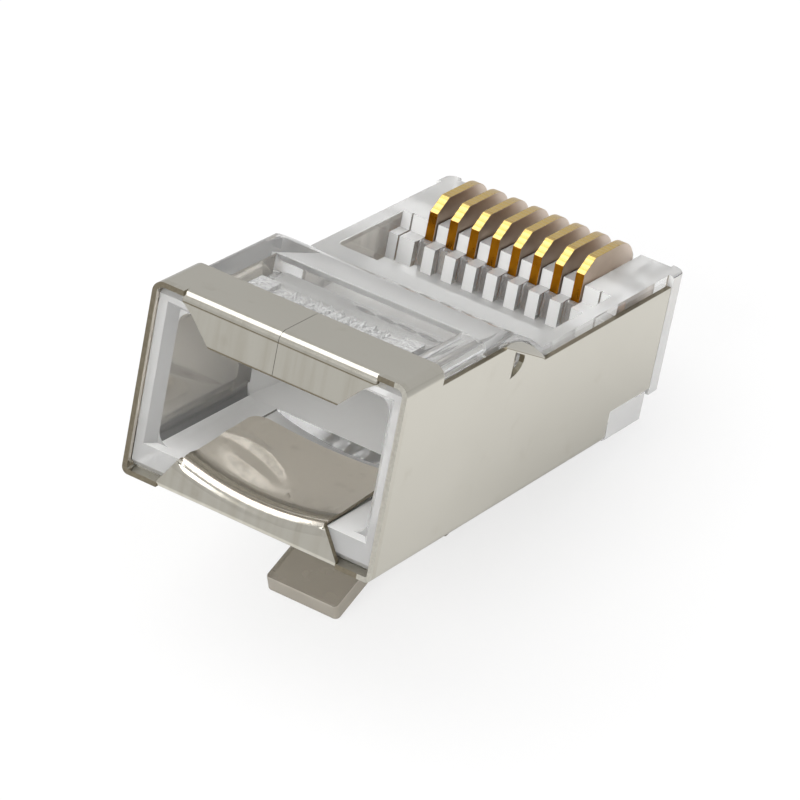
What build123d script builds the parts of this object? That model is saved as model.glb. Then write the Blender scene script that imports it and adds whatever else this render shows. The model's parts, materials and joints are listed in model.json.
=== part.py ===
from build123d import *
from math import asin, atan2, cos, degrees, hypot, radians, sin
import os

# A shielded eight-way modular plug before crimping: a clear moulded housing, a folded
# metal shield round it, eight contact blades standing proud in their slots, and the
# latch lever below. It is drawn in millimetres with the body level: x runs across, y from
# the cable end to the nose, z up from the shield's underside. The last step leans the
# whole plug onto its latch tip and nose, as it lies on a table.

# Overall sizes
plug_width = 11.70
plug_length = 23.02
rear_height = 8.46
sheet = 0.22
sheet_play = 0.02
bend_radius = 0.42
lower_bend_radius = 0.28
corner_radius = 0.50
lower_corner_radius = 0.30

# Housing
deck_height = 6.60
shoulder_start = 8.00
shoulder_end = 11.20
shoulder_bulge = 0.12
nose_cap_length = 1.15
nose_step_length = 1.52
nose_step_height = 1.10
nose_corner_radius = 0.50
nose_round = 0.45
cheek_width = 0.60
belly_length = 4.52
belly_height = 1.38
soft_edge = 0.15
rear_edge = 0.35

# Cable cavity
cavity_width = 9.74
cavity_floor = 1.45
cavity_ceiling = 7.30
cavity_corner = 0.60
cavity_straight = 7.20
cavity_lead_in = 0.35
lead_in_depth = 0.50
throat_height = 1.50

# Strain relief window and bar in the top of the housing
window_width = 8.70
window_start = 2.30
window_end = 6.50
bar_width = 7.60
bar_start = 3.60
bar_flat_end = 4.70
bar_top = 7.78
bar_bottom = 6.98
bar_root_top = 7.58
bar_web_length = 0.90
bar_post_width = 0.90
bar_post_height = 0.22
bar_tooth_count = 9
bar_tooth_pitch = 0.52
bar_tooth_width = 0.34
bar_tooth_height = 0.20

# Comb that holds the contacts
contact_count = 8
contact_pitch = 1.016
slot_width = 0.50
recess_width = 10.10
recess_length = 4.40
end_groove = 0.08
recess_floor = 4.70
recess_corner = 0.35
ledge_length = 0.86
ledge_height = 5.65
wire_bore = 0.96
wire_height = 2.20
wire_length = 9.80
wire_setback = 0.82

# Contact blades
blade_thickness = 0.40
blade_setback = 0.98
blade_length = 4.32
blade_proud = 0.14
blade_top = 7.65
blade_height = 4.85
blade_chamfer_length = 0.78
blade_chamfer_height = 0.56
blade_nose_length = 1.45
blade_nose_height = 1.00
blade_step = 0.35
blade_step_height = 4.60
tine_count = 3
tine_depth = 0.80
crimped_top = 6.02
slot_play = 0.05
tine_clearance = 0.12

# Shield
strap_length = 2.75
side_top = 7.70
front_top = 6.13
step_start = 7.60
step_end = 11.15
shield_gap = 0.05
seam = 0.05
flap_top_width = 8.90
flap_kink_width = 7.90
flap_kink_height = 7.65
flap_low_width = 5.94
flap_low_height = 6.57
cradle_flap_width = 8.40
cradle_width = 6.70
cradle_edge_height = 1.65
cradle_rear_sag = 0.47
cradle_front_sag = 0.22
cradle_length = 5.50
cradle_rise = 0.22
cradle_corner = 0.70
cradle_clearance = 0.08
ear_rise = 0.38
ear_bend = 35.0
lance_y = 8.40
lance_z = 6.79
lance_radius = 0.57
lance_length = 0.88
lance_cut = 0.04
lance_bend = 21.0
lance_pocket_depth = 0.42

# Latch lever
latch_width = 6.05
handle_width = 3.45
hinge_radius = 0.50
hinge_clearance = 0.03
latch_drop = 0.60
latch_root_thickness = 0.56
latch_step_thickness = 1.10
latch_root_angle = 11.0
latch_root_length = 11.10
handle_angle = 26.5
handle_length = 6.30
handle_thickness = 0.80
knee_radius = 0.40
tip_radius = 0.12
handle_corner = 0.22

# Sizes that follow from the ones above
half_width = plug_width / 2
inner_half = half_width - sheet
inner_top = rear_height - sheet
core_half = inner_half - sheet_play
core_top = inner_top - sheet_play
core_low = sheet + sheet_play
cap_start = plug_length - nose_cap_length
step_line = plug_length - nose_step_length
belly_start = plug_length - belly_length
blade_end = plug_length - blade_setback
blade_start = blade_end - blade_length
comb_start = blade_start + blade_proud
ledge_start = comb_start - ledge_length
recess_start = ledge_start - recess_length
wire_end = plug_length - wire_setback
cavity_end = wire_end - wire_length
blade_bottom = blade_top - blade_height
crimp_travel = blade_top - crimped_top
slot_floor = blade_bottom - crimp_travel - tine_clearance
hinge_seat = hinge_radius + hinge_clearance
hinge_y = step_line + hinge_seat
hinge_z = nose_step_height - hinge_seat
throat_width = (contact_count - 1) * contact_pitch + wire_bore


def across(outline, half, middle=0.0):
    """Thicken a side outline, given as (y, z), evenly about x = middle."""
    return Pos(middle, 0, 0) * extrude(Plane.YZ * outline, amount=half, both=True)


def along(section, start, end):
    """Run a cross section, given as (x, z), from y = start to y = end."""
    face = Plane(origin=(0, end, 0), x_dir=(1, 0, 0), z_dir=(0, -1, 0)) * section
    return extrude(face, amount=end - start)


def block(x0, x1, y0, y1, z0, z1):
    """A plain block between two corners."""
    size = Box(x1 - x0, y1 - y0, z1 - z0)
    return Pos((x0 + x1) / 2, (y0 + y1) / 2, (z0 + z1) / 2) * size


def section_at(y, section):
    """A cross section, given as (x, z), standing at y."""
    return Plane(origin=(0, y, 0), x_dir=(1, 0, 0), z_dir=(0, -1, 0)) * section


def rectangle(half, low, high, low_radius=0.0, high_radius=0.0):
    """A cross section centred on x = 0, with its lower and upper corners rounded where asked."""
    shape = Pos(0, (low + high) / 2) * Rectangle(2 * half, high - low)
    rows = shape.vertices().group_by(Axis.Y)
    if low_radius:
        shape = fillet(rows[0], low_radius)
    if high_radius:
        shape = fillet(shape.vertices().group_by(Axis.Y)[-1], high_radius)
    return shape


def both_sides(solid):
    """The solid and its mirror image on the other side."""
    return solid + mirror(solid, about=Plane.YZ)


def contact_places():
    """The x of each contact, from left to right."""
    first = -(contact_count - 1) * contact_pitch / 2
    return [first + i * contact_pitch for i in range(contact_count)]


def cradle_sag_section(sag, half, edge, top):
    """The space above a sagging line of the cable cradle, up to a height."""
    arc = ThreePointArc((-half, edge), (0, edge - sag), (half, edge))
    return make_face([arc, Polyline((half, edge), (half, top), (-half, top), (-half, edge))])


# Housing

def housing_core():
    """The moulding's outer form: high block, round shoulder, low nose with cap and belly."""
    outline = make_face([
        Polyline((shoulder_end, deck_height), (cap_start, deck_height), (cap_start, nose_step_height),
                 (step_line, nose_step_height), (step_line, belly_height / 2),
                 (belly_start, belly_height / 2), (belly_start, core_low), (core_low, core_low),
                 (core_low, core_top), (shoulder_start, core_top)),
        SagittaArc((shoulder_start, core_top), (shoulder_end, deck_height), shoulder_bulge),
    ])
    core = across(outline, core_half)
    rear = core.edges().filter_by(Axis.X).group_by(Axis.Y)[0]
    core = chamfer(rear, rear_edge)
    lengthwise = core.edges().filter_by(Axis.Y).group_by(Axis.Z)
    core = fillet(lengthwise[0], lower_corner_radius - sheet + shield_gap)
    lengthwise = core.edges().filter_by(Axis.Y).group_by(Axis.Z)
    core = fillet(lengthwise[-1], corner_radius - sheet + shield_gap)
    cap = block(-half_width, half_width, cap_start, plug_length, nose_step_height, deck_height)
    cap = fillet(cap.edges().filter_by(Axis.Z).group_by(Axis.Y)[-1], nose_corner_radius)
    cap = fillet(cap.edges().group_by(Axis.Z)[-1].sort_by(Axis.Y)[1:], soft_edge)
    belly = block(-half_width, half_width, belly_start, step_line, 0, belly_height)
    belly = fillet(belly.edges().filter_by(Axis.Y).group_by(Axis.Z)[0], soft_edge)
    return core + cap + belly


def cable_cavity():
    """The hollow for the cable: a straight mouth that funnels down to the wire bores."""
    half = cavity_width / 2
    round_mouth = rectangle(half, cavity_floor, cavity_ceiling, cavity_corner, cavity_corner)
    mouth = along(round_mouth, 0, cavity_straight)
    wide = rectangle(half + cavity_lead_in, cavity_floor, cavity_ceiling + cavity_lead_in)
    narrow = rectangle(half, cavity_floor, cavity_ceiling)
    lead_in = loft([section_at(sheet, wide), section_at(sheet + lead_in_depth, narrow)])
    throat_low = wire_height - wire_bore / 2
    throat = rectangle(throat_width / 2, throat_low, throat_low + throat_height)
    funnel = loft([section_at(cavity_straight - soft_edge, narrow), section_at(cavity_end, throat)])
    trough_edge = cradle_edge_height - sheet - cradle_clearance
    sag = cradle_sag_section(cradle_rear_sag, cradle_width / 2 + shield_gap, trough_edge,
                             cavity_floor + cradle_rear_sag)
    trough = along(sag, 0, cradle_length + cradle_edge_height)
    return mouth + lead_in + funnel + trough


def strain_relief_bar():
    """The bar that a crimp would press onto the cable, hinged at the window's front edge."""
    outline = make_face(Polyline(
        (window_end + soft_edge, bar_root_top), (window_end + soft_edge, cavity_ceiling),
        (window_end - bar_web_length, cavity_ceiling), (bar_flat_end, bar_bottom),
        (bar_start, bar_bottom), (bar_start, bar_top), (bar_flat_end, bar_top), close=True))
    bar = across(outline, bar_width / 2)
    post = block(bar_width / 2 - bar_post_width, bar_width / 2, bar_start, bar_flat_end,
                 bar_bottom, bar_top + bar_post_height)
    bar += both_sides(post)
    tooth = make_face(Polyline((-bar_tooth_width / 2, bar_top), (bar_tooth_width / 2, bar_top),
                               (0, bar_top + bar_tooth_height), close=True))
    first = -(bar_tooth_count - 1) * bar_tooth_pitch / 2
    for i in range(bar_tooth_count):
        bar += Pos(first + i * bar_tooth_pitch, 0, 0) * along(tooth, bar_start, bar_flat_end)
    return bar


def comb_cuts():
    """The recess behind the contacts, their slots, and the wire bores below."""
    half = recess_width / 2
    high = deck_height + 1
    recess = block(-half, half, recess_start, ledge_start, recess_floor, high)
    recess = fillet(recess.edges().filter_by(Axis.Z).group_by(Axis.Y)[0], recess_corner)
    cuts = recess + block(-half, half, ledge_start - soft_edge, comb_start, ledge_height, high)
    for x in contact_places():
        left, right = x - slot_width / 2, x + slot_width / 2
        cuts += block(left, right, ledge_start - soft_edge, plug_length + 1, recess_floor, high)
        cuts += block(left, right, blade_start - slot_play, blade_end + slot_play,
                      slot_floor, recess_floor + soft_edge)
        bore = Cylinder(wire_bore / 2, wire_length + 1,
                        align=(Align.CENTER, Align.CENTER, Align.MIN))
        cuts += Pos(x, wire_end, wire_height) * Rot(90, 0, 0) * bore
    for side in (-1, 1):
        middle = side * (contact_count + 1) * contact_pitch / 2
        cuts += block(middle - end_groove / 2, middle + end_groove / 2, ledge_start - soft_edge,
                      comb_start + 2 * end_groove, recess_floor, high)
    return cuts


def nose_rounding():
    """What the round along the nose's top takes off between the two cheeks."""
    r = nose_round
    middle = (plug_length - r, deck_height - r)
    corner = Pos(plug_length, deck_height) * Rectangle(2 * r, 2 * r)
    return across(make_face(corner.edges()) - Pos(*middle) * Circle(r), half_width - cheek_width)


def ear_line():
    """The sloping root of the ear on the side wall: its direction as (y, z) and its length."""
    length = hypot(step_end - step_start, side_top - front_top)
    return ((step_end - step_start) / length, (front_top - side_top) / length), length


def ear_outline(rise, margin=0.0):
    """A hump of the given rise on the ear's root line, grown by a margin and more at its ends."""
    length = ear_line()[1]
    start, end = (-3 * margin, -margin), (length + 3 * margin, -margin)
    return make_face([ThreePointArc(start, (length / 2, rise + margin), end), Line(end, start)])


def ear_recess():
    """Shallow pocket in the block's side that the shield's ear turns into, on the right side."""
    bend = radians(ear_bend)
    depth = ear_rise * sin(bend) + shield_gap
    plane = Plane(origin=(inner_half - depth, step_start, side_top),
                  x_dir=(0, *ear_line()[0]), z_dir=(1, 0, 0))
    return extrude(plane * ear_outline(ear_rise / cos(bend), shield_gap), amount=depth + soft_edge)


def lance_outline(margin=0.0):
    """The half-oval of a lanced tab, its root along x and centred on the origin."""
    half, length = lance_radius + margin, lance_length + margin
    return Ellipse(half, length) & Pos(0, length / 2) * Rectangle(2 * half, length)


def lance_pocket():
    """The pocket that the shield's lanced tab presses into, on the right side."""
    outline = lance_outline(2 * lance_cut + shield_gap)
    outline = Pos(lance_y - shield_gap, lance_z) * Rot(0, 0, -90) * outline
    return across(outline, lance_pocket_depth / 2, inner_half - lance_pocket_depth / 2)


def latch_seat():
    """The hollow corner under the nose step in which the lever's root turns."""
    corner = block(-latch_width / 2, latch_width / 2, step_line - soft_edge, hinge_y,
                   hinge_z, nose_step_height + soft_edge)
    hollow = across(Pos(hinge_y, hinge_z) * Circle(hinge_seat), latch_width)
    return corner - hollow


def make_housing():
    body = housing_core() - cable_cavity()
    body -= block(-window_width / 2, window_width / 2, window_start, window_end,
                  cavity_ceiling - soft_edge, rear_height)
    body -= comb_cuts() + nose_rounding()
    body -= both_sides(ear_recess())
    body -= both_sides(lance_pocket())
    return body + strain_relief_bar() + latch_seat()


# Contacts

def make_contact(x):
    """One blade: chamfered at the rear, round at the nose, with piercing tines below."""
    low = blade_bottom
    root = low + tine_depth
    front = blade_end - blade_step
    tine_width = (front - blade_start) / tine_count
    tines = [(front, root)]
    for i in range(tine_count):
        right = front - i * tine_width
        tines += [(right - tine_width / 2, low), (right - tine_width, root)]
    outline = make_face([
        Polyline((blade_end, blade_top - blade_nose_height), (blade_end, blade_step_height),
                 (front, blade_step_height - blade_step), *tines,
                 (blade_start, blade_top - blade_chamfer_height),
                 (blade_start + blade_chamfer_length, blade_top),
                 (blade_end - blade_nose_length, blade_top)),
        TangentArc((blade_end - blade_nose_length, blade_top), (blade_end, blade_top - blade_nose_height),
                   tangent=(1, 0)),
    ])
    return across(outline, blade_thickness / 2, x)


# Shield

def shield_walls():
    """The folded tube: bottom, two stepped sides, and the strap over the cable end."""
    outer = rectangle(half_width, 0, rear_height, lower_corner_radius, corner_radius)
    inner = rectangle(inner_half, sheet, inner_top, lower_corner_radius - sheet, corner_radius - sheet)
    tube = along(outer - inner, 0, cap_start - shield_gap)
    belly_edge = belly_start - shield_gap
    low, high = -1, rear_height + 1
    outline = make_face(Polyline(
        (0, low), (0, high), (strap_length, high), (strap_length, side_top), (step_start, side_top),
        (step_end, front_top), (cap_start, front_top), (cap_start, belly_height + shield_gap),
        (belly_edge, belly_height + shield_gap), (belly_edge, low), close=True))
    return tube & across(outline, plug_width)


def rear_fold(plate, rise, flap_end, half, r):
    """Sheet that bends from the plate at height plate round the rear edge and along the rear face.

    rise is 1 where the plate's outer face looks up and the flap hangs, and -1 the other way;
    r is the outer radius of the bend."""
    t = sheet
    reach = strap_length / 2
    outline = make_face([
        Polyline((reach, plate), (r, plate)),
        RadiusArc((r, plate), (0, plate - rise * r), -rise * r),
        Polyline((0, plate - rise * r), (0, flap_end), (t, flap_end), (t, plate - rise * r)),
        RadiusArc((t, plate - rise * r), (r, plate - rise * t), rise * (r - t)),
        Polyline((r, plate - rise * t), (reach, plate - rise * t), (reach, plate)),
    ])
    return across(outline, half)


def top_flaps():
    """The two strap ends folded down over the rear; the seam between them is cut later."""
    top, bend_end = flap_top_width / 2, rear_height - bend_radius
    face = make_face(Polyline(
        (-top, rear_height + 1), (-top, bend_end), (-flap_kink_width / 2, flap_kink_height),
        (-flap_low_width / 2, flap_low_height), (flap_low_width / 2, flap_low_height),
        (flap_kink_width / 2, flap_kink_height), (top, bend_end), (top, rear_height + 1), close=True))
    return rear_fold(rear_height, 1, flap_low_height, top, bend_radius) & along(face, -1, strap_length)


def cable_cradle():
    """The bottom flap: up over the rear edge, then inward as a sagging bed for the cable."""
    half, edge = cradle_width / 2, cradle_edge_height
    lines = [(0, cradle_rear_sag, edge), (cradle_length, cradle_front_sag, edge + cradle_rise)]
    above, beneath = [
        loft([section_at(y, cradle_sag_section(sag, half, height - drop, rear_height))
              for y, sag, height in lines]) for drop in (0, sheet)]
    plan = Pos(0, cradle_length / 2) * Rectangle(cradle_width, cradle_length)
    plan = fillet(plan.vertices().group_by(Axis.Y)[-1], cradle_corner)
    bed = (beneath - above) & extrude(plan, amount=rear_height)
    low_half = cradle_flap_width / 2
    flap_face = make_face(Polyline(
        (-low_half, 0), (-low_half, lower_bend_radius), (-half, edge), (half, edge),
        (low_half, lower_bend_radius), (low_half, 0), close=True))
    fold = rear_fold(0, -1, edge, low_half, lower_bend_radius)
    flap = (fold & along(flap_face, -1, strap_length)) - above
    cradle = flap + bed
    crest = cradle.edges().group_by(Axis.Y)[0].sort_by(SortBy.LENGTH)
    crest = [e for e in crest if e.geom_type != GeomType.LINE][-1]
    return fillet(crest, sheet)


def bent_tab(root_start, run, outline, root_length, angle):
    """A tab of the right side wall turned inward about its root, with the round of the bend."""
    origin = (inner_half, *root_start)
    along_root, back = (0, *run), (0, run[1], -run[0])
    axis = Axis(origin, (0, -run[0], -run[1]))
    flat = extrude(Plane(origin=origin, x_dir=along_root, z_dir=(1, 0, 0)) * outline, amount=sheet)
    root_plane = Plane(origin=origin, x_dir=along_root, z_dir=back)
    root = root_plane * (Pos(root_length / 2, sheet / 2) * Rectangle(root_length, sheet))
    return flat.rotate(axis, angle) + revolve(root, axis, revolution_arc=angle)


def ear():
    """The hump of side wall over the step, turned in over the housing's shoulder."""
    run, length = ear_line()
    return bent_tab((step_start, side_top), run, ear_outline(ear_rise), length, ear_bend)


def lance():
    """The half-oval tab pressed inward into the housing's pocket."""
    r = lance_radius
    return bent_tab((lance_y, lance_z + r), (0, -1), Pos(r, 0) * lance_outline(), 2 * r, lance_bend)


def lance_hole():
    """The opening that the lance was cut from."""
    outline = Pos(lance_y, lance_z) * Rot(0, 0, -90) * lance_outline(lance_cut)
    return across(outline, sheet, half_width - sheet / 2)


def make_shield():
    flap = flap_top_width / 2
    walls = shield_walls() - both_sides(lance_hole())
    low_flap = cradle_flap_width / 2
    walls -= block(-flap, flap, -1, bend_radius, inner_top - soft_edge, rear_height + 1)
    walls -= block(-low_flap, low_flap, -1, lower_bend_radius, -1, sheet + soft_edge)
    walls += top_flaps() + cable_cradle() + both_sides(ear()) + both_sides(lance())
    high = rear_height + 1
    return walls - block(-seam / 2, seam / 2, -1, strap_length + 1, cradle_edge_height + 1, high)


# Latch lever

def slope(angle):
    """Unit vectors, as (y, z), down a slope toward the cable end and square up from it."""
    a = radians(angle)
    return (-cos(a), -sin(a)), (-sin(a), cos(a))


def from_hinge(run, up):
    """A point of the lever's wide part, measured from the hinge along and square to its slope."""
    down, square = slope(latch_root_angle)
    return (hinge_y + run * down[0] + up * square[0], hinge_z + run * down[1] + up * square[1])


def from_shoulder(run, up):
    """A point of the handle, measured from the top of the locking step."""
    down, square = slope(handle_angle)
    start = from_hinge(latch_root_length, -latch_drop)
    return (start[0] + run * down[0] + up * square[0], start[1] + run * down[1] + up * square[1])


def make_latch():
    """The lever: a round root, a wide wedge that ends in the locking step, and a narrow handle."""
    r, low = hinge_radius, -latch_drop - latch_root_thickness
    knee = [from_hinge(-r, low + knee_radius), from_hinge(knee_radius - r, low)]
    wide = make_face([
        Polyline(knee[1], from_hinge(r, low),
                 from_hinge(latch_root_length, -latch_drop - latch_step_thickness),
                 from_hinge(latch_root_length, -latch_drop), from_hinge(r / 2, -latch_drop),
                 from_hinge(r / 2, 0), from_hinge(-r, 0), knee[0]),
        RadiusArc(knee[0], knee[1], knee_radius),
    ])
    lever = across(wide, latch_width / 2) + across(Pos(hinge_y, hinge_z) * Circle(r), latch_width / 2)
    grip = make_face(Polyline(
        from_shoulder(0, 0), from_shoulder(handle_length, 0),
        from_shoulder(handle_length, -handle_thickness), from_shoulder(0, -handle_thickness), close=True))
    handle = across(grip, handle_width / 2)
    square = slope(handle_angle)[1]
    upright = handle.edges().filter_by(Axis((0, 0, 0), (0, *square))).group_by(Axis.Y)[0]
    handle = fillet(upright, handle_corner)
    handle = fillet(handle.edges().filter_by(Axis.X).group_by(Axis.Y)[0], tip_radius)
    return lever + handle


# Rest pose

def lean_angle():
    """How far the nose dips when the plug rests on its latch tip and the lever's knee."""
    down, square = slope(handle_angle)
    knee = from_hinge(knee_radius - hinge_radius, knee_radius - latch_drop - latch_root_thickness)
    tip = from_shoulder(handle_length - tip_radius, tip_radius - handle_thickness)
    apart = hypot(knee[0] - tip[0], knee[1] - tip[1])
    climb = atan2(knee[1] - tip[1], knee[0] - tip[0])
    return degrees(climb - asin((knee_radius - tip_radius) / apart))


def plug_nodes():
    """Every piece of the plug by name, with the body still level."""
    nodes = {"housing": make_housing(), "shield": make_shield(), "latch_lever": make_latch()}
    for number, x in enumerate(contact_places(), start=1):
        nodes[f"contact_{number}"] = make_contact(x)
    return nodes


level = plug_nodes()
lean = Rot(-lean_angle(), 0, 0)
leaning = {name: lean * solid for name, solid in level.items()}
box = Compound(children=[Compound(solid.wrapped) for solid in leaning.values()]).bounding_box()
lift = Pos(0, -(box.min.Y + box.max.Y) / 2, -box.min.Z)

os.makedirs("parts", exist_ok=True)
for name, solid in leaning.items():
    export_step(lift * solid, f"parts/{name}.step")

hinge = lift * lean * Pos(0, hinge_y, hinge_z)
print(f"lean {lean_angle():.3f} degrees, size {box.size.X:.3f} x {box.size.Y:.3f} x {box.size.Z:.3f}")
print(f"latch hinge at {hinge.position.Y:.4f}, {hinge.position.Z:.4f}; crimp travel {crimp_travel:.3f}")
print(f"shift {lift.position.Y:.4f}, {lift.position.Z:.4f}")
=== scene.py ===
import bmesh
import bpy
import json
from math import cos, exp, radians, sin, sqrt
from mathutils import Matrix, Vector
from mathutils.bvhtree import BVHTree
from mathutils.geometry import area_tri

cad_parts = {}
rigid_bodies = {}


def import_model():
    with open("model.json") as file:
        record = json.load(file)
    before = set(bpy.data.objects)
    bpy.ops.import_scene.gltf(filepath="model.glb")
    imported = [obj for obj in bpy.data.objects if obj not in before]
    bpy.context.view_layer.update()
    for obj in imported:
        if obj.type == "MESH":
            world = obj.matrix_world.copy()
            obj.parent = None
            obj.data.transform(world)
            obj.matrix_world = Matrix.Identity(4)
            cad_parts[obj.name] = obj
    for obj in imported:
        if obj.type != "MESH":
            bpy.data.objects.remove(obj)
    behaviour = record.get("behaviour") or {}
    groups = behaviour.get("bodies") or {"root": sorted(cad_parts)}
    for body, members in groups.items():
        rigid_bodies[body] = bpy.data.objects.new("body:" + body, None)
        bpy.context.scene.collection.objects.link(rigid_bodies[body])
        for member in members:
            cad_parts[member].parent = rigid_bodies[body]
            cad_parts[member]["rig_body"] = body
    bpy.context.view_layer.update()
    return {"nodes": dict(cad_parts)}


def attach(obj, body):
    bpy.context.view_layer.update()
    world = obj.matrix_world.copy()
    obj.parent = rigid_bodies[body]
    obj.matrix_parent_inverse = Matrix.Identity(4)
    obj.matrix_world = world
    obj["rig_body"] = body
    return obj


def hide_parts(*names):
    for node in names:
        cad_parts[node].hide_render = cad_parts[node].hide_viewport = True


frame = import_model()

MM = 0.001

# How near a place has to be to a named one, in millimetres
NEAR, ABOUT = 0.01, 0.1

# Camera, found from the plug's corners in the photograph
CAMERA_PLACE = Vector((77.089, -122.217, 128.800)) * MM
CAMERA_FOCUS = Vector((-1.767, 1.919, 3.001)) * MM
CAMERA_ROLL = radians(1.106)
CAMERA_LENS = 210.75
SENSOR_WIDTH = 36.0
CLIP_START, CLIP_END = 0.01, 10.0

# The plug leans on its latch: the body's own up and forward, seen in the frame
LEAN = radians(17.271)
ACROSS = Vector((1, 0, 0))
FORWARD = Vector((0, cos(LEAN), -sin(LEAN)))
UP = Vector((0, sin(LEAN), cos(LEAN)))
BODY_ORIGIN = Vector((0, -11.9519, 7.1802)) * MM
REAR_FACE = BODY_ORIGIN.dot(FORWARD)

# The comb that holds the contacts, in the body's own level millimetres, as all lengths below
CONTACT_PLACES = [(number - 4.5) * 1.016 for number in range(1, 9)]
SLOT_WIDTH = 0.50
RECESS_START = 12.60
RECESS_FLOOR = 4.70
COMB_START = 16.80
LEDGE_START, LEDGE_END = 17.00, 17.86
LEDGE_TOP = 5.65
LEDGE_LIFT = 0.20
WEB_START, WEB_END = 17.32, 17.66
WEB_GAP = 0.01
WEB_EDGE = 0.03
BLADE_END = 22.04
BLADE_SWEEP = 0.10
NOTCH_TOP = LEDGE_TOP + LEDGE_LIFT - 0.05

# The cable cavity, the strain relief bar and the belly
RIM_END = 1.0
CAVITY_HALF = 4.90
CAVITY_LOW, CAVITY_HIGH = 1.42, 7.32
TROUGH_HIGH = 1.62
FUNNEL_START, FUNNEL_END = 7.00, 12.50
BELLY_START = 18.45
BELLY_INSET = 1.0
BAR_START, BAR_END = 3.55, 4.75
BAR_HALF = 3.85
BAR_FACE = 7.70

# The shield: its sheet, inner sides, strap seam, rear flaps and bent-in tab
SHEET = 0.22
EDGE_DEPTH = 1.5 * SHEET
INNER_SIDE = 4.0
SEAM_HALF = 0.03
SEAM_SHARE = 0.4
# The flaps' two dark lines: their sheared lower edge, and painted shade in the crease under the
# fold
FLAP_LINES = ((6.56, 6.64), (8.00, 8.06))
FLAP_HALF = 4.45
FLAP_FRONT, FLAP_DEPTH = 0.05, 0.1
TAB_START, TAB_HEIGHT = 8.4, 6.4

# The shield's cradle, with its crest and the cable bed behind it
CRADLE_HALF = 3.36
CRADLE_LENGTH = 5.52
BED_HALF = 4.25
BED_LOW, BED_HIGH = 0.25, 2.2
BED_START = 0.3
UNDERSIDE_SHARE = 0.35
CREST_LOW = 1.18
CREST_SWEEP = 12.17
CREST_ROUND = 0.66
FINE_STEP, COARSE_STEP, SIDE_STEP = 0.06, 0.12, 0.30

# The press marks on the cable bed: their height and their distance from the rear face
DISH_DEPTH, DISH_PLACE = 0.22, 1.35
RIDGE_HEIGHT, RIDGE_PLACE = 0.13, 3.6
SWELL_HEIGHT, SWELL_PLACE = 0.09, 2.2

# Where the finishes change: rubbed flaps and the painted shade behind the crest, from the
# body's rear face; the painted highlights on the rim and tab, the blades' steps and paler noses,
# and the floor's tone with its painted falloff, in the frame
RUB_END = 0.3
CREASE_START, CREASE_END, CREASE_FADE = 0.44, 1.4, 0.6
BRIGHT_ASIDE, BRIGHT_BACK = 5.2, -9.3
TAB_PLACE = BODY_ORIGIN + (FORWARD * TAB_START + UP * TAB_HEIGHT) * MM
TAB_REACH = 0.9
STEPS_END = 8.2
NOSE_START, NOSE_END = 9.2, 11.0
FLOOR_NEAR, FLOOR_FAR = 18.0, 34.0

# Widths of broken edges
MOULDED_EDGE, SHEARED_EDGE, STAMPED_EDGE = 0.04, 0.03, 0.025

# How squarely a face looks a given way: the least part of its normal that points there
LOOSELY, FAIRLY, SQUARELY, FULLY = 0.5, 0.7, 0.9, 0.95
LEVER_SLOPE = 0.6

# How far apart corners are joined, how flat faces are joined and how sharp an edge stays
WELD = 0.0005
FLAT_ANGLE = radians(0.5)
SHARP_ANGLE = radians(30)
EDGE_SEGMENTS = 2

# Light in clear plastic: how it bends, and how many walls and mirrors it may meet
PLASTIC_INDEX = 1.5
CLEAR_BOUNCES, MIRROR_BOUNCES = 24, 12


# Shader writing

class Wire:
    """A node's output socket; arithmetic and comparison on it add Math nodes."""

    def __init__(self, finish, socket):
        self.finish, self.socket = finish, socket

    def math(self, operation, first, second):
        return self.finish.node("ShaderNodeMath", {"operation": operation},
                                {0: first, 1: second})

    def __add__(self, other):
        return self.math("ADD", self, other)

    def __sub__(self, other):
        return self.math("SUBTRACT", self, other)

    def __rsub__(self, other):
        return self.math("SUBTRACT", other, self)

    def __mul__(self, other):
        return self.math("MULTIPLY", self, other)

    def __gt__(self, other):
        return self.math("GREATER_THAN", self, other)

    def __lt__(self, other):
        return self.math("LESS_THAN", self, other)

    __radd__, __rmul__ = __add__, __mul__


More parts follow.
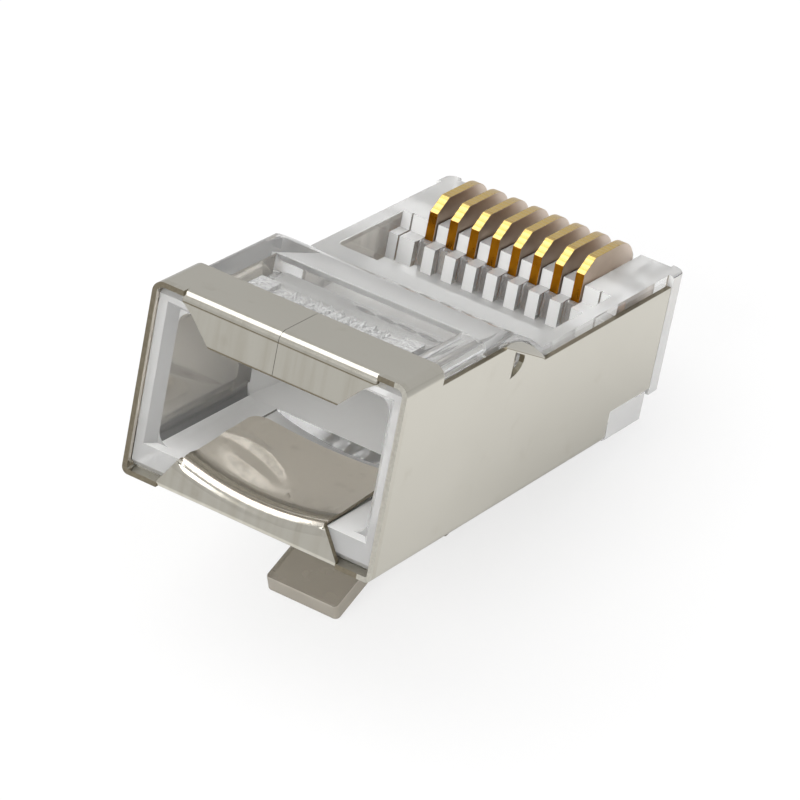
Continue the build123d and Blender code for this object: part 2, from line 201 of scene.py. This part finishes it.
class Finish:
    """A procedural material, or the world, that is written as node calls and expressions."""

    def __init__(self, owner, output="ShaderNodeOutputMaterial"):
        owner.use_nodes = True
        self.tree = owner.node_tree
        self.tree.nodes.clear()
        self.output = self.tree.nodes.new(output)

    def node(self, kind, settings=None, sockets=None, out=0):
        """Add a node: its settings first, then the values or links of its sockets."""
        made = self.tree.nodes.new(kind)
        for name, value in (settings or {}).items():
            setattr(made, name, value)
        for name, value in (sockets or {}).items():
            if isinstance(value, Wire):
                self.tree.links.new(value.socket, made.inputs[name])
            else:
                made.inputs[name].default_value = value
        return Wire(self, made.outputs[out])

    def place(self):
        return self.node("ShaderNodeTexCoord", out="Object")

    def axis(self, number):
        """One coordinate of the place in the frame: 0 for x, 1 for y, 2 for z."""
        return self.node("ShaderNodeSeparateXYZ", {}, {"Vector": self.place()}, out=number)

    def from_rear(self):
        """The distance from the body's rear face, toward the nose."""
        along = self.node("ShaderNodeVectorMath", {"operation": "DOT_PRODUCT"},
                          {0: self.place(), 1: FORWARD}, out=1)
        return along - REAR_FACE

    def noise(self, scale, detail=3.0, stretch=(1, 1, 1)):
        """Noise at a scale in waves a metre, drawn out where stretch is under 1; 0 to 1."""
        where = self.node("ShaderNodeMapping", {}, {
            "Vector": self.place(), "Scale": [scale * share for share in stretch]})
        return self.node("ShaderNodeTexNoise", {}, {
            "Vector": where, "Scale": 1.0, "Detail": detail})

    def rise(self, value, low, high, curve="LINEAR"):
        """0 where the value is low, rising to 1 where it is high."""
        return self.node("ShaderNodeMapRange", {"interpolation_type": curve},
                         {"Value": value, "From Min": low, "From Max": high})

    def mix(self, factor, first, second):
        """Blend of two colours."""
        return self.node("ShaderNodeMix", {"data_type": "RGBA"},
                         {0: factor, 6: first, 7: second}, out=2)

    def bump(self, height, strength, distance):
        return self.node("ShaderNodeBump", {}, {
            "Height": height, "Strength": strength, "Distance": distance})

    def toward_nose(self):
        """0 along a blade, rising to 1 at its rounded nose, where the plating pales."""
        return self.rise(self.axis(1), NOSE_START * MM, NOSE_END * MM, "SMOOTHSTEP")

    def backdrop_rays(self, camera_share=1.0):
        """How white the backdrop is to the camera's own rays, and 1 for those through plastic."""
        direct = self.node("ShaderNodeLightPath", out="Is Camera Ray")
        through = self.node("ShaderNodeLightPath", out="Is Transmission Ray")
        return direct * camera_share + through

    def mirrored_rays(self):
        return self.node("ShaderNodeLightPath", out="Is Glossy Ray")

    def surface(self, shader):
        self.tree.links.new(shader.socket, self.output.inputs["Surface"])

    def principled(self, sockets):
        self.surface(self.node("ShaderNodeBsdfPrincipled", {}, sockets))


def colour(red, green, blue):
    return (red, green, blue, 1.0)


def grey(level):
    return colour(level, level, level)


def new_finish(name):
    material = bpy.data.materials.new(name)
    return material, Finish(material)


def plastic(name, clearness, dull, bright, haze, rough, bump, ripple=None):
    """A face of the polycarbonate. The haze, given as its scale and detail, blends the two
    colours and adds its share to the least roughness. The bump, given as its strength and
    distance, follows the haze, or the ripple where there is one."""
    material, f = new_finish(name)
    waves = f.noise(*ripple) if ripple else None
    cloud = f.noise(*haze)
    least, share = rough
    f.principled({
        "Base Color": f.mix(cloud, dull, bright),
        "Roughness": least + cloud * share,
        "IOR": PLASTIC_INDEX,
        "Transmission Weight": clearness,
        "Normal": f.bump(waves or cloud, *bump),
    })
    return material


def clear_plastic():
    """Polished clear polycarbonate with the faint ripple and haze of a small moulding."""
    return plastic("clear_polycarbonate", 0.85, colour(0.985, 0.985, 0.98),
                   colour(1.0, 1.0, 0.995), haze=(900, 4.0), rough=(0.02, 0.06),
                   bump=(0.035, 0.0002), ripple=(420, 2.0, (1.0, 0.5, 1.0)))


def matt_plastic(name, clearness):
    """The faces that the mould leaves matt: they glow white with the light inside the block."""
    return plastic(name, clearness, colour(0.985, 0.98, 0.97), colour(1.0, 1.0, 0.99),
                   haze=(1500, 3.0), rough=(0.18, 0.12), bump=(0.04, 0.00002))


def serrated_plastic():
    """The clear bar's gripping teeth, with the fine broken facets that catch the light."""
    return plastic("serrated_polycarbonate", 0.55, colour(0.88, 0.88, 0.87), grey(1.0),
                   haze=(5200, 2.0), rough=(0.05, 0.08), bump=(1.0, 0.0002))


def latch_plastic(name, dull, bright):
    """The lever's clear plastic, darkened with painted shade where it lies in the plug's shadow.
    """
    return plastic(name, 0.55, dull, bright,
                   haze=(700, 3.0), rough=(0.10, 0.08), bump=(0.10, 0.0001))


def nickel(name, dull, bright, crease=0.0):
    """Satin nickel plating with the faint lengthwise grain of rolled sheet, rubbed on the rear
    flaps and, where crease is over 0, darkened with painted shade behind the cradle's crest."""
    material, f = new_finish(name)
    grain = f.noise(5000, 3.0, (1.0, 0.10, 1.0))
    cloud = f.noise(260, 3.0)
    stain = f.rise(f.noise(900, 5.0), 0.62, 0.80)
    along = f.from_rear()
    flap = along < RUB_END * MM
    rubbed = f.rise(f.noise(2800, 3.0, (1.0, 0.06, 0.06)), 0.40, 0.72)
    worn = stain * 0.35 + flap * rubbed * 0.40
    plating = f.mix(worn, f.mix(cloud, dull, bright), colour(0.50, 0.46, 0.37))
    # Painted shade: the bed just behind the crest is darkened, by the share given in crease.
    if crease:
        across = f.axis(0)
        on_bed = (across > -CRADLE_HALF * MM) * (across < CRADLE_HALF * MM)
        behind = along > CREASE_START * MM
        fading = f.rise(CREASE_END * MM - along, 0.0, CREASE_FADE * MM, "SMOOTHSTEP")
        painted_crease_shade = on_bed * behind * fading * crease
        plating = f.mix(painted_crease_shade, plating, colour(0.27, 0.24, 0.18))
    f.principled({
        "Base Color": plating,
        "Metallic": 1.0,
        "Roughness": 0.12 + cloud * 0.06 + grain * 0.04,
        "Normal": f.bump(cloud, 0.05, 0.00004),
    })
    return material


def cut_edge():
    """The sheared edge of the sheet, where the plating is thin and the alloy shows through;
    a painted highlight brightens it along the right of the cable opening and round the bent-in
    tabs."""
    material, f = new_finish("cut_edge")
    burr = f.noise(9000, 4.0)
    flat = f.node("ShaderNodeVectorMath", {"operation": "MULTIPLY"},
                  {0: f.place(), 1: (0, 1, 1)})
    from_tab = f.node("ShaderNodeVectorMath", {"operation": "DISTANCE"},
                      {0: flat, 1: TAB_PLACE}, out=1)
    # Painted highlight: the edge is drawn near-white along the right of the opening and round the
    # tabs.
    rim = (f.axis(0) > BRIGHT_ASIDE * MM) * (f.axis(1) < BRIGHT_BACK * MM)
    polished = (rim + (from_tab < TAB_REACH * MM)) * (0.55 + burr * 0.6)
    alloy = f.mix(burr, colour(0.20, 0.17, 0.12), colour(0.40, 0.355, 0.265))
    f.principled({
        "Base Color": f.mix(polished * 0.85, alloy, colour(0.86, 0.84, 0.76)),
        "Metallic": 1.0,
        "Roughness": 0.30 + burr * 0.2,
        "Normal": f.bump(burr, 0.15, 0.00003),
    })
    return material


def gold():
    """Gold plating on a blade's top, with the fine steps that its stamping leaves across it."""
    material, f = new_finish("gold_plating")
    rub = f.noise(3500, 3.0)
    steps = f.node("ShaderNodeTexWave", {"bands_direction": "Y"}, {
        "Vector": f.place(), "Scale": 1100.0, "Distortion": 1.5, "Detail Scale": 0.5}, out=1)
    stepped = (steps > 0.86) * (f.axis(1) < STEPS_END * MM)
    plating = f.mix(rub, colour(0.79, 0.55, 0.17), colour(0.90, 0.66, 0.25))
    plating = f.mix(f.toward_nose() * 0.8, plating, colour(0.86, 0.72, 0.58))
    f.principled({
        "Base Color": f.mix(stepped * 0.5, plating, colour(0.60, 0.36, 0.06)),
        "Metallic": 1.0,
        "Roughness": 0.15 + rub * 0.10 + f.toward_nose() * 0.2,
        "Normal": f.bump(steps, 0.18, 0.00003),
    })
    return material


def rear_gold_painted_shade():
    """A blade's rear face, darkened to orange with painted shade and a painted reflection of its
    slot's walls.
    """
    material, f = new_finish("rear_gold_painted_shade")
    rub = f.noise(3000, 3.0, (1.0, 1.0, 0.3))
    f.principled({
        "Base Color": f.mix(rub, colour(0.36, 0.12, 0.003), colour(0.58, 0.24, 0.012)),
        "Metallic": 1.0,
        "Roughness": 0.22 + rub * 0.14,
        "Normal": f.bump(rub, 0.05, 0.00003),
    })
    return material


def blade_flank():
    """A blade's flat side: sheared bronze under a thin flash of gold."""
    material, f = new_finish("blade_flank")
    smear = f.noise(2400, 4.0, (1.0, 0.4, 1.0))
    bronze = f.mix(smear, colour(0.50, 0.385, 0.29), colour(0.66, 0.535, 0.43))
    f.principled({
        "Base Color": f.mix(f.toward_nose() * 0.8, bronze, colour(0.88, 0.76, 0.66)),
        "Metallic": 1.0,
        "Roughness": 0.26 + smear * 0.15,
        "Normal": f.bump(smear, 0.06, 0.00003),
    })
    return material


# Places on the body

def body_place(point):
    """A point of the frame as the body's own level (x, y, z), in millimetres."""
    d = point - BODY_ORIGIN
    return Vector((d.x, d.dot(FORWARD), d.dot(UP))) / MM


def frame_place(x, y, z):
    """The point of the frame at the body's own level (x, y, z), given in millimetres."""
    return BODY_ORIGIN + (ACROSS * x + FORWARD * y + UP * z) * MM


def face_place(face):
    return body_place(face.calc_center_median())


# Choosing which faces wear which material

def sheet_sides(work):
    """The folded sheet's cut edges, with far more than its thickness behind them, and the
    plating inside the plug and on the cable bed, drawn lighter with painted light."""
    tree = BVHTree.FromBMesh(work)
    widest = {}
    for loops in work.calc_loop_triangles():
        corners = [loop.vert.co for loop in loops]
        face = loops[0].face
        if area_tri(*corners) > widest.get(face, (0,))[0]:
            widest[face] = (area_tri(*corners), sum(corners, Vector()) / 3)
    for face, (_, spot) in widest.items():
        just_under = spot - face.normal * NEAR * SHEET * MM
        behind = tree.ray_cast(just_under, -face.normal)[3]
        x, y, z = body_place(spot)
        inner_side = x * face.normal.x < -INNER_SIDE
        on_bed = y < CRADLE_LENGTH and z < BED_HIGH and face.normal.dot(UP) > LOOSELY
        if behind and behind > EDGE_DEPTH * MM:
            face.material_index = 1
        elif inner_side or on_bed:
            face.material_index = 2


def matt_faces(work):
    """The housing's matt faces, where the mould isn't polished, and its serrated bar."""
    for face in work.faces:
        x, y, z = face_place(face)
        within = abs(x) < CAVITY_HALF
        looks_back = face.normal.dot(-FORWARD) > LOOSELY
        looks_up = face.normal.dot(UP) > FAIRLY
        looks_aside = abs(face.normal.x) > SQUARELY and y > BELLY_START
        rim = looks_back and y < RIM_END
        comb = looks_back and y > COMB_START and z > RECESS_FLOOR
        funnel = within and FUNNEL_START < y < FUNNEL_END and CAVITY_LOW < z < CAVITY_HIGH
        trough = within and y < FUNNEL_START and z < TROUGH_HIGH and looks_up
        cheek = looks_aside and abs(x) > CAVITY_HALF and z > CAVITY_LOW
        belly = looks_aside and abs(x) > CAVITY_HALF - BELLY_INSET and z < CAVITY_LOW
        deck = looks_up and y > RECESS_START and z > RECESS_FLOOR - NEAR
        if comb or funnel or trough:
            face.material_index = 1
        elif rim or deck:
            face.material_index = 2
        elif cheek or belly:
            face.material_index = 4
        elif BAR_START < y < BAR_END and z > BAR_FACE:
            if max(abs(vert.co.x) for vert in face.verts) < (BAR_HALF + ABOUT) * MM:
                face.material_index = 3


def blade_sides(work):
    """A blade's flat sides and its rear face."""
    for face in work.faces:
        if abs(face.normal.x) > SQUARELY:
            face.material_index = 1
        elif face.normal.dot(-FORWARD) > FULLY:
            face.material_index = 2


def lever_top(work):
    """The lever's broad upper face, which gets a darker painted shade than its sides."""
    for face in work.faces:
        if face.normal.z > LEVER_SLOPE:
            face.material_index = 1


# Small changes of shape

def cut(work, faces, spot, normal):
    """Cut these faces with a plane and give back all the faces that they then are."""
    geom = dict.fromkeys(item for face in faces for item in (face, *face.verts, *face.edges))
    made = bmesh.ops.bisect_plane(work, geom=list(geom), plane_co=spot, plane_no=normal)
    return [item for item in made["geom"] if isinstance(item, bmesh.types.BMFace)]


def raise_ledge(work):
    """The comb's lower step stands a little higher than its solid."""
    for vert in work.verts:
        x, y, z = body_place(vert.co)
        if abs(z - LEDGE_TOP) < NEAR and LEDGE_START - ABOUT < y < LEDGE_END + ABOUT:
            vert.co += UP * LEDGE_LIFT * MM


def notch_blade(work):
    """Draw the rear of the blade's hidden lower half forward, clear of the comb's lower step."""
    for level in (NOTCH_TOP + NEAR, NOTCH_TOP - NEAR):
        cut(work, work.faces[:], frame_place(0, 0, level), UP)
    for vert in work.verts:
        x, y, z = body_place(vert.co)
        if z < NOTCH_TOP:
            vert.co += FORWARD * (BLADE_END - y) ** 2 * BLADE_SWEEP * MM


def close_seam(work):
    """Bring the strap's two halves together, as they meet on the real sheet."""
    for vert in work.verts:
        if abs(vert.co.x) < SEAM_HALF * MM:
            vert.co.x *= SEAM_SHARE


def crease_flaps(work):
    """Dark lines on the upper flaps: their sheared lower edge, and painted shade in the crease
    under their fold.
    """
    for low, high in FLAP_LINES:
        for height in (low, high):
            front = [face for face in work.faces if face_place(face).y < FLAP_FRONT]
            cut(work, front, frame_place(0, 0, height), UP)
        for face in work.faces:
            x, y, z = face_place(face)
            if y < FLAP_DEPTH and low < z < high and abs(x) < FLAP_HALF:
                face.material_index = 1


def cradle_planes():
    """The planes that cut the cradle finely enough to bend, closest together at its crest."""
    fine = [FINE_STEP * i for i in range(1, 10)]
    coarse = [10 * FINE_STEP + COARSE_STEP * i for i in range(41)]
    return ([(frame_place(0, y, 0), FORWARD) for y in fine + coarse]
            + [(frame_place(SIDE_STEP * i, 0, 0), ACROSS) for i in range(-11, 12)]
            + [(frame_place(0, 0, CREST_ROUND + FINE_STEP * i), UP) for i in range(17)])


def bell(distance, width):
    """1 at no distance, falling smoothly to almost 0 past twice the width."""
    return exp(-(distance / width) ** 2)


def bed_rise(x, y, top):
    """How far the press raised the cable bed: a dish behind the crest, a curved ridge across
    the bed and a soft swell between them. Little of the dish shows on the bed's underside."""
    dish_width = 0.45 if y < DISH_PLACE else 2.4
    ridge_curve, swell_slant = 0.2 * (x + 2.1) ** 2, 0.25 * (x + 1.2)
    dish = DISH_DEPTH * bell(y - DISH_PLACE, dish_width) * bell(x + 0.3, 3.6)
    ridge = RIDGE_HEIGHT * bell(y - RIDGE_PLACE + ridge_curve, 0.32) * bell(x + 1.3, 2.0)
    swell = SWELL_HEIGHT * bell(y - SWELL_PLACE + swell_slant, 0.45) * bell(x + 1.2, 1.2)
    return ridge + swell - dish * (1.0 if top else UNDERSIDE_SHARE)


def cradle_crest(x):
    """The height of the cradle's sagging crest across the plug."""
    return CREST_LOW + CREST_SWEEP - sqrt(CREST_SWEEP ** 2 - x * x)


def sag_cradle(work):
    """Roll the cradle's crest over a wider round, dish the cable bed behind it and raise a
    soft swell and a ridge on the bed, as the press leaves them."""
    bed = []
    for face in work.faces:
        x, y, z = face_place(face)
        if abs(x) < BED_HALF and -ABOUT < y < CRADLE_LENGTH and BED_LOW < z < BED_HIGH:
            bed.append(face)
    close_seam(work)
    crease_flaps(work)
    for spot, normal in cradle_planes():
        bed = cut(work, bed, spot, normal)
    work.normal_update()
    for vert in dict.fromkeys(vert for face in bed for vert in face.verts):
        x, y, z = body_place(vert.co)
        if abs(x) > CRADLE_HALF:
            continue
        top = any(face.normal.dot(UP) > LOOSELY for face in vert.link_faces)
        rise = bed_rise(x, y, top) if y > BED_START else 0.0
        middle_y, middle_z = CREST_ROUND, cradle_crest(x) - CREST_ROUND
        out_y, out_z = y - middle_y, z + rise - middle_z
        reach = sqrt(out_y ** 2 + out_z ** 2)
        if out_y < 0 and out_z > 0 and reach > CREST_ROUND:
            out_y, out_z = out_y * CREST_ROUND / reach, out_z * CREST_ROUND / reach
        vert.co = frame_place(x, middle_y + out_y, middle_z + out_z)


# Pieces

def linked(name, mesh):
    piece = bpy.data.objects.new(name, mesh)
    bpy.context.scene.collection.objects.link(piece)
    return piece


def break_edges(piece, width, edge_material):
    bevel = piece.modifiers.new("broken_edges", "BEVEL")
    bevel.width = width
    bevel.segments = EDGE_SEGMENTS
    bevel.material = edge_material
    bevel.limit_method = "ANGLE"
    bevel.angle_limit = SHARP_ANGLE
    bevel.use_clamp_overlap = True
    bevel.harden_normals = True
    piece.modifiers.new("even_normals", "WEIGHTED_NORMAL").keep_sharp = True


def dressed(node, name, materials, edge_width, sort_faces, reshape=None, edge_material=-1):
    """A copy of a solid with joined faces and softly broken edges, to stand for its node."""
    mesh = frame["nodes"][node].data.copy()
    mesh.name = name
    mesh.materials.clear()
    for material in materials:
        mesh.materials.append(material)
    work = bmesh.new()
    work.from_mesh(mesh)
    bmesh.ops.remove_doubles(work, verts=work.verts, dist=WELD * MM)
    bmesh.ops.dissolve_limit(work, angle_limit=FLAT_ANGLE, verts=work.verts, edges=work.edges)
    for face in work.faces:
        face.material_index = 0
        face.smooth = True
    sort_faces(work)
    if reshape:
        reshape(work)
    for edge in work.edges:
        edge.smooth = len(edge.link_faces) == 2 and edge.calc_face_angle() < SHARP_ANGLE
    work.to_mesh(mesh)
    work.free()
    piece = linked(name, mesh)
    break_edges(piece, edge_width * MM, edge_material)
    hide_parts(node)
    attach(piece, frame["nodes"][node]["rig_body"])


def comb_webs(material):
    """Thin webs that close the comb's lower step behind each blade and leave shallow mouths."""
    top = LEDGE_TOP + LEDGE_LIFT
    size = (SLOT_WIDTH - WEB_GAP, WEB_END - WEB_START, top - RECESS_FLOOR)
    turn = Matrix((ACROSS, FORWARD, UP)).transposed().to_4x4()
    stretch = Matrix.Diagonal((*(side * MM for side in size), 1.0))
    work = bmesh.new()
    for x in CONTACT_PLACES:
        middle = frame_place(x, (WEB_START + WEB_END) / 2, (top + RECESS_FLOOR) / 2)
        bmesh.ops.create_cube(work, size=1.0, matrix=Matrix.Translation(middle) @ turn @ stretch)
    bmesh.ops.bevel(work, geom=work.edges[:], offset=WEB_EDGE * MM, affect="EDGES",
                    segments=EDGE_SEGMENTS, profile=0.5, material=-1)
    mesh = bpy.data.meshes.new("comb_webs")
    work.to_mesh(mesh)
    work.free()
    mesh.materials.append(material)
    piece = linked("comb_webs", mesh)
    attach(piece, frame["nodes"]["housing"]["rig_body"])


clear = clear_plastic()
frosted = matt_plastic("frosted_polycarbonate", 0.03)
satin = matt_plastic("satin_polycarbonate", 0.60)
milky = matt_plastic("milky_polycarbonate", 0.35)
golds = [gold(), blade_flank(), rear_gold_painted_shade()]
dressed("housing", "housing_clear",
        [clear, frosted, satin, serrated_plastic(), milky], MOULDED_EDGE, matt_faces, raise_ledge)
comb_webs(clear)

# Painted shade on the lever: its sides lightly, its top more deeply.
painted_lever_shade = latch_plastic("smoky_polycarbonate", colour(0.70, 0.65, 0.565),
                      colour(0.78, 0.73, 0.645))
shaded = latch_plastic("shaded_polycarbonate", colour(0.23, 0.205, 0.165),
                       colour(0.29, 0.26, 0.215))
dressed("latch_lever", "latch_lever_clear", [painted_lever_shade, shaded], MOULDED_EDGE,
        lever_top, edge_material=0)

outside = nickel("nickel_plating", colour(0.65, 0.625, 0.55), colour(0.71, 0.685, 0.61))
# Painted light: the inside and the bed are drawn lighter than the outside, and warmer in tone.
inside = nickel("inside_plating_painted_light", colour(0.88, 0.82, 0.72), colour(0.95, 0.89, 0.79), crease=0.8)
dressed("shield", "shield_plated", [outside, cut_edge(), inside], SHEARED_EDGE,
        sheet_sides, sag_cradle, edge_material=1)

for number in range(1, 9):
    dressed(f"contact_{number}", f"contact_{number}_gold", golds, STAMPED_EDGE,
            blade_sides, notch_blade)


# Floor, light and camera

def floor():
    """A pale floor that shows almost white and keeps the plug's shadow. Mirrored rays see it
    grey, with a painted falloff that greys it further from the plug, as a pool of light fades."""
    mesh = bpy.data.meshes.new("floor")
    work = bmesh.new()
    bmesh.ops.create_grid(work, x_segments=1, y_segments=1, size=2.0)
    work.to_mesh(mesh)
    work.free()
    piece = linked("floor", mesh)
    material, f = new_finish("pale_floor")
    seen = f.backdrop_rays(0.72)
    distance = f.node("ShaderNodeVectorMath", {"operation": "LENGTH"}, {0: f.place()}, out=1)
    # Painted falloff of light: mirrored rays see the floor greyer further from the plug.
    painted_falloff = f.rise(distance, FLOOR_NEAR * MM, FLOOR_FAR * MM, "SMOOTHSTEP")
    tone = f.mix(f.mirrored_rays() * (0.32 + painted_falloff * 0.68), grey(0.95), grey(0.50))
    lit = f.node("ShaderNodeBsdfDiffuse", {}, {"Color": tone})
    white = f.node("ShaderNodeEmission", {}, {"Color": grey(1.0), "Strength": 1.0})
    f.surface(f.node("ShaderNodeMixShader", {}, {0: seen, 1: lit, 2: white}))
    mesh.materials.append(material)


def softbox(name, place, size, power):
    """A square soft light that looks at the plug."""
    lamp = bpy.data.lights.new(name, "AREA")
    lamp.shape = "SQUARE"
    lamp.size = size
    lamp.energy = power
    box = linked(name, lamp)
    box.location = place
    box.rotation_euler = (-Vector(place)).to_track_quat("-Z", "Y").to_euler()


def sky():
    """Soft grey surroundings that the camera sees as white."""
    world = bpy.data.worlds.new("studio")
    bpy.context.scene.world = world
    f = Finish(world, "ShaderNodeOutputWorld")
    shade = f.mix(f.mirrored_rays(), grey(0.85), grey(0.55))
    shade = f.mix(f.backdrop_rays(), shade, grey(1.0))
    f.surface(f.node("ShaderNodeBackground", {}, {"Color": shade, "Strength": 1.0}))


def point_camera():
    lens = bpy.data.cameras.new("camera")
    lens.lens = CAMERA_LENS
    lens.sensor_width = SENSOR_WIDTH
    lens.clip_start, lens.clip_end = CLIP_START, CLIP_END
    camera = linked("camera", lens)
    look = (CAMERA_FOCUS - CAMERA_PLACE).to_track_quat("-Z", "Y").to_matrix().to_4x4()
    roll = Matrix.Rotation(CAMERA_ROLL, 4, "Z")
    camera.matrix_world = Matrix.Translation(CAMERA_PLACE) @ look @ roll
    bpy.context.scene.camera = camera


floor()
sky()
softbox("key_light", (-0.14, -0.02, 0.36), size=0.28, power=0.38)
softbox("front_light", (-0.05, -0.34, 0.26), size=0.16, power=0.40)
point_camera()

scene = bpy.context.scene
scene.view_settings.view_transform = "Standard"
scene.cycles.max_bounces = CLEAR_BOUNCES
scene.cycles.transmission_bounces = CLEAR_BOUNCES
scene.cycles.glossy_bounces = MIRROR_BOUNCES
